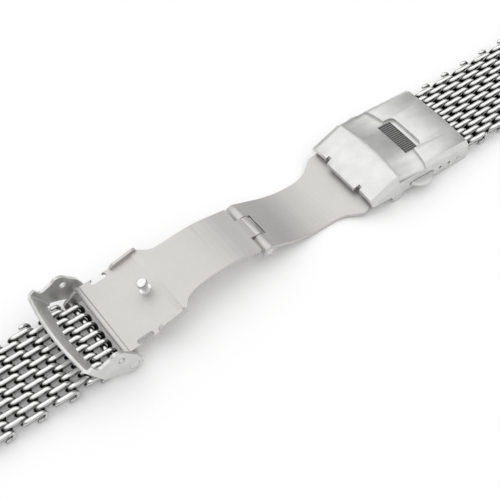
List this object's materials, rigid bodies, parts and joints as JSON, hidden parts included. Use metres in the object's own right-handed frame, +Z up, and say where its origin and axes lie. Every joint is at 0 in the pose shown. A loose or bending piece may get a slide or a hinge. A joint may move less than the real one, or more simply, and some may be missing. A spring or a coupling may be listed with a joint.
{
  "type": "mesh watch band",
  "caption": "Interlocked steel-wire mesh watch band with a three-part folding clasp, twin push buttons, flip-over lock and spring bars for the watch lugs.",
  "frame": {"origin": "centre of the laid-out band on the table it lies on", "axes": "+X along the band from the flip lock to the clasp cover, +Z up"},
  "size_m": [0.1936, 0.0258, 0.0104],
  "materials": {
    "satin_steel": "fine satin",
    "blade_steel": "matt satin",
    "ribbed_steel": "fine ribs",
    "turned_steel": "polished",
    "spring_steel": "drawn wire",
    "mesh_wire": "polished wire"
  },
  "bodies": {
    "cover": {"clasp_cover": "satin_steel", "thumb_grip_pad": "ribbed_steel", "latch_frame": "satin_steel", "cover_hinge_rivets": "turned_steel", "button_spring_near": "spring_steel", "button_spring_far": "spring_steel", "right_clasp_bar_tube": "turned_steel", "right_clasp_bar_spring": "spring_steel"},
    "near_button": {"push_button_near": "turned_steel"},
    "far_button": {"push_button_far": "turned_steel"},
    "lower_blade": {"lower_blade": "blade_steel", "mid_hinge_pin": "turned_steel"},
    "upper_blade": {"upper_blade": "blade_steel", "catch_post": "turned_steel", "lock_pivot_rivets": "turned_steel", "left_clasp_bar_tube": "turned_steel", "left_clasp_bar_spring": "spring_steel"},
    "flip_lock": {"flip_lock": "satin_steel"},
    "left_spiral_01": {"left_spiral_01": "mesh_wire"},
    "left_spiral_02": {"left_spiral_02": "mesh_wire"},
    "left_spiral_03": {"left_spiral_03": "mesh_wire"},
    "left_spiral_04": {"left_spiral_04": "mesh_wire"},
    "left_spiral_05": {"left_spiral_05": "mesh_wire"},
    "left_spiral_06": {"left_spiral_06": "mesh_wire"},
    "left_spiral_07": {"left_spiral_07": "mesh_wire"},
    "left_spiral_08": {"left_spiral_08": "mesh_wire"},
    "left_spiral_09": {"left_spiral_09": "mesh_wire"},
    "left_spiral_10": {"left_spiral_10": "mesh_wire"},
    "left_spiral_11": {"left_spiral_11": "mesh_wire"},
    "left_spiral_12": {"left_spiral_12": "mesh_wire"},
    "left_spiral_13": {"left_spiral_13": "mesh_wire"},
    "left_spiral_14": {"left_spiral_14": "mesh_wire", "left_lug_bar_tube": "turned_steel", "left_lug_bar_spring": "spring_steel"},
    "right_spiral_01": {"right_spiral_01": "mesh_wire"},
    "right_spiral_02": {"right_spiral_02": "mesh_wire"},
    "right_spiral_03": {"right_spiral_03": "mesh_wire"},
    "right_spiral_04": {"right_spiral_04": "mesh_wire"},
    "right_spiral_05": {"right_spiral_05": "mesh_wire"},
    "right_spiral_06": {"right_spiral_06": "mesh_wire"},
    "right_spiral_07": {"right_spiral_07": "mesh_wire"},
    "right_spiral_08": {"right_spiral_08": "mesh_wire"},
    "right_spiral_09": {"right_spiral_09": "mesh_wire"},
    "right_spiral_10": {"right_spiral_10": "mesh_wire"},
    "right_spiral_11": {"right_spiral_11": "mesh_wire"},
    "right_spiral_12": {"right_spiral_12": "mesh_wire"},
    "right_spiral_13": {"right_spiral_13": "mesh_wire"},
    "right_spiral_14": {"right_spiral_14": "mesh_wire"},
    "right_spiral_15": {"right_spiral_15": "mesh_wire", "right_lug_bar_tube": "turned_steel", "right_lug_bar_spring": "spring_steel"},
    "left_clasp_bar_near_tip": {"left_clasp_bar_tip_near": "turned_steel"},
    "left_clasp_bar_far_tip": {"left_clasp_bar_tip_far": "turned_steel"},
    "right_clasp_bar_near_tip": {"right_clasp_bar_tip_near": "turned_steel"},
    "right_clasp_bar_far_tip": {"right_clasp_bar_tip_far": "turned_steel"},
    "left_lug_bar_near_tip": {"left_lug_bar_tip_near": "turned_steel"},
    "left_lug_bar_far_tip": {"left_lug_bar_tip_far": "turned_steel"},
    "right_lug_bar_near_tip": {"right_lug_bar_tip_near": "turned_steel"},
    "right_lug_bar_far_tip": {"right_lug_bar_tip_far": "turned_steel"}
  },
  "joints": [
    {"name": "cover_hinge", "type": "hinge", "parent": "cover", "child": "lower_blade", "pos_m": [0.02993, 0, 0.0012], "axis": [0, -1, 0], "range_deg": [-1, 169.8]},
    {"name": "middle_hinge", "type": "hinge", "parent": "lower_blade", "child": "upper_blade", "pos_m": [-0.00337, 0, 0.0045], "axis": [0, 1, 0], "range_deg": [-1.2, 96]},
    {"name": "flip_lock_pivot", "type": "hinge", "parent": "upper_blade", "child": "flip_lock", "pos_m": [-0.04167, 0, 0.0027], "axis": [0, 1, 0], "range_deg": [-1, 108]},
    {"name": "near_button_press", "type": "slide", "parent": "cover", "child": "near_button", "axis": [0, 1, 0], "range_m": [0, 0.001], "stiffness_N_per_m": 400, "springref_m": -0.0008, "deforming": ["button_spring_near"]},
    {"name": "far_button_press", "type": "slide", "parent": "cover", "child": "far_button", "axis": [0, -1, 0], "range_m": [0, 0.001], "stiffness_N_per_m": 400, "springref_m": -0.0008, "deforming": ["button_spring_far"]},
    {"name": "left_clasp_bar_near_tip_slide", "type": "slide", "parent": "upper_blade", "child": "left_clasp_bar_near_tip", "axis": [0, 1, 0], "range_m": [0, 0.0009], "stiffness_N_per_m": 250, "springref_m": -0.0005, "deforming": ["left_clasp_bar_spring"]},
    {"name": "left_clasp_bar_far_tip_slide", "type": "slide", "parent": "upper_blade", "child": "left_clasp_bar_far_tip", "axis": [0, -1, 0], "range_m": [0, 0.0009], "stiffness_N_per_m": 250, "springref_m": -0.0005},
    {"name": "right_clasp_bar_near_tip_slide", "type": "slide", "parent": "cover", "child": "right_clasp_bar_near_tip", "axis": [0, 1, 0], "range_m": [0, 0.0009], "stiffness_N_per_m": 250, "springref_m": -0.0005, "deforming": ["right_clasp_bar_spring"]},
    {"name": "right_clasp_bar_far_tip_slide", "type": "slide", "parent": "cover", "child": "right_clasp_bar_far_tip", "axis": [0, -1, 0], "range_m": [0, 0.0009], "stiffness_N_per_m": 250, "springref_m": -0.0005},
    {"name": "left_lug_bar_near_tip_slide", "type": "slide", "parent": "left_spiral_14", "child": "left_lug_bar_near_tip", "axis": [0, 1, 0], "range_m": [0, 0.0009], "stiffness_N_per_m": 250, "springref_m": -0.0005, "deforming": ["left_lug_bar_spring"]},
    {"name": "left_lug_bar_far_tip_slide", "type": "slide", "parent": "left_spiral_14", "child": "left_lug_bar_far_tip", "axis": [0, -1, 0], "range_m": [0, 0.0009], "stiffness_N_per_m": 250, "springref_m": -0.0005},
    {"name": "right_lug_bar_near_tip_slide", "type": "slide", "parent": "right_spiral_15", "child": "right_lug_bar_near_tip", "axis": [0, 1, 0], "range_m": [0, 0.0009], "stiffness_N_per_m": 250, "springref_m": -0.0005, "deforming": ["right_lug_bar_spring"]},
    {"name": "right_lug_bar_far_tip_slide", "type": "slide", "parent": "right_spiral_15", "child": "right_lug_bar_far_tip", "axis": [0, -1, 0], "range_m": [0, 0.0009], "stiffness_N_per_m": 250, "springref_m": -0.0005},
    {"name": "left_row_01", "type": "hinge", "parent": "upper_blade", "child": "left_spiral_01", "pos_m": [-0.04435, 0, 0.00182], "axis": [0, 1, 0], "range_deg": [-40, 2]},
    {"name": "left_row_02", "type": "hinge", "parent": "left_spiral_01", "child": "left_spiral_02", "pos_m": [-0.04743, 0, 0.00182], "axis": [0, 1, 0], "range_deg": [-15, 15]},
    {"name": "left_row_03", "type": "hinge", "parent": "left_spiral_02", "child": "left_spiral_03", "pos_m": [-0.05113, 0, 0.00182], "axis": [0, 1, 0], "range_deg": [-15, 15]},
    {"name": "left_row_04", "type": "hinge", "parent": "left_spiral_03", "child": "left_spiral_04", "pos_m": [-0.05483, 0, 0.00182], "axis": [0, 1, 0], "range_deg": [-15, 15]},
    {"name": "left_row_05", "type": "hinge", "parent": "left_spiral_04", "child": "left_spiral_05", "pos_m": [-0.05853, 0, 0.00182], "axis": [0, 1, 0], "range_deg": [-15, 15]},
    {"name": "left_row_06", "type": "hinge", "parent": "left_spiral_05", "child": "left_spiral_06", "pos_m": [-0.06223, 0, 0.00182], "axis": [0, 1, 0], "range_deg": [-15, 15]},
    {"name": "left_row_07", "type": "hinge", "parent": "left_spiral_06", "child": "left_spiral_07", "pos_m": [-0.06593, 0, 0.00182], "axis": [0, 1, 0], "range_deg": [-15, 15]},
    {"name": "left_row_08", "type": "hinge", "parent": "left_spiral_07", "child": "left_spiral_08", "pos_m": [-0.06963, 0, 0.00182], "axis": [0, 1, 0], "range_deg": [-15, 15]},
    {"name": "left_row_09", "type": "hinge", "parent": "left_spiral_08", "child": "left_spiral_09", "pos_m": [-0.07333, 0, 0.00182], "axis": [0, 1, 0], "range_deg": [-15, 15]},
    {"name": "left_row_10", "type": "hinge", "parent": "left_spiral_09", "child": "left_spiral_10", "pos_m": [-0.07703, 0, 0.00182], "axis": [0, 1, 0], "range_deg": [-15, 15]},
    {"name": "left_row_11", "type": "hinge", "parent": "left_spiral_10", "child": "left_spiral_11", "pos_m": [-0.08073, 0, 0.00182], "axis": [0, 1, 0], "range_deg": [-15, 15]},
    {"name": "left_row_12", "type": "hinge", "parent": "left_spiral_11", "child": "left_spiral_12", "pos_m": [-0.08443, 0, 0.00182], "axis": [0, 1, 0], "range_deg": [-15, 15]},
    {"name": "left_row_13", "type": "hinge", "parent": "left_spiral_12", "child": "left_spiral_13", "pos_m": [-0.08813, 0, 0.00182], "axis": [0, 1, 0], "range_deg": [-15, 15]},
    {"name": "left_row_14", "type": "hinge", "parent": "left_spiral_13", "child": "left_spiral_14", "pos_m": [-0.09183, 0, 0.00182], "axis": [0, 1, 0], "range_deg": [-15, 15]},
    {"name": "right_row_01", "type": "hinge", "parent": "cover", "child": "right_spiral_01", "pos_m": [0.04835, 0, 0.00182], "axis": [0, -1, 0], "range_deg": [-40, 4]},
    {"name": "right_row_02", "type": "hinge", "parent": "right_spiral_01", "child": "right_spiral_02", "pos_m": [0.05115, 0, 0.00182], "axis": [0, -1, 0], "range_deg": [-15, 15]},
    {"name": "right_row_03", "type": "hinge", "parent": "right_spiral_02", "child": "right_spiral_03", "pos_m": [0.0543, 0, 0.00182], "axis": [0, -1, 0], "range_deg": [-15, 15]},
    {"name": "right_row_04", "type": "hinge", "parent": "right_spiral_03", "child": "right_spiral_04", "pos_m": [0.05745, 0, 0.00182], "axis": [0, -1, 0], "range_deg": [-15, 15]},
    {"name": "right_row_05", "type": "hinge", "parent": "right_spiral_04", "child": "right_spiral_05", "pos_m": [0.0606, 0, 0.00182], "axis": [0, -1, 0], "range_deg": [-15, 15]},
    {"name": "right_row_06", "type": "hinge", "parent": "right_spiral_05", "child": "right_spiral_06", "pos_m": [0.06375, 0, 0.00182], "axis": [0, -1, 0], "range_deg": [-15, 15]},
    {"name": "right_row_07", "type": "hinge", "parent": "right_spiral_06", "child": "right_spiral_07", "pos_m": [0.0669, 0, 0.00182], "axis": [0, -1, 0], "range_deg": [-15, 15]},
    {"name": "right_row_08", "type": "hinge", "parent": "right_spiral_07", "child": "right_spiral_08", "pos_m": [0.07005, 0, 0.00182], "axis": [0, -1, 0], "range_deg": [-15, 15]},
    {"name": "right_row_09", "type": "hinge", "parent": "right_spiral_08", "child": "right_spiral_09", "pos_m": [0.0732, 0, 0.00182], "axis": [0, -1, 0], "range_deg": [-15, 15]},
    {"name": "right_row_10", "type": "hinge", "parent": "right_spiral_09", "child": "right_spiral_10", "pos_m": [0.07635, 0, 0.00182], "axis": [0, -1, 0], "range_deg": [-15, 15]},
    {"name": "right_row_11", "type": "hinge", "parent": "right_spiral_10", "child": "right_spiral_11", "pos_m": [0.0795, 0, 0.00182], "axis": [0, -1, 0], "range_deg": [-15, 15]},
    {"name": "right_row_12", "type": "hinge", "parent": "right_spiral_11", "child": "right_spiral_12", "pos_m": [0.08265, 0, 0.00182], "axis": [0, -1, 0], "range_deg": [-15, 15]},
    {"name": "right_row_13", "type": "hinge", "parent": "right_spiral_12", "child": "right_spiral_13", "pos_m": [0.0858, 0, 0.00182], "axis": [0, -1, 0], "range_deg": [-15, 15]},
    {"name": "right_row_14", "type": "hinge", "parent": "right_spiral_13", "child": "right_spiral_14", "pos_m": [0.08895, 0, 0.00182], "axis": [0, -1, 0], "range_deg": [-15, 15]},
    {"name": "right_row_15", "type": "hinge", "parent": "right_spiral_14", "child": "right_spiral_15", "pos_m": [0.0921, 0, 0.00182], "axis": [0, -1, 0], "range_deg": [-15, 15]}
  ]
}
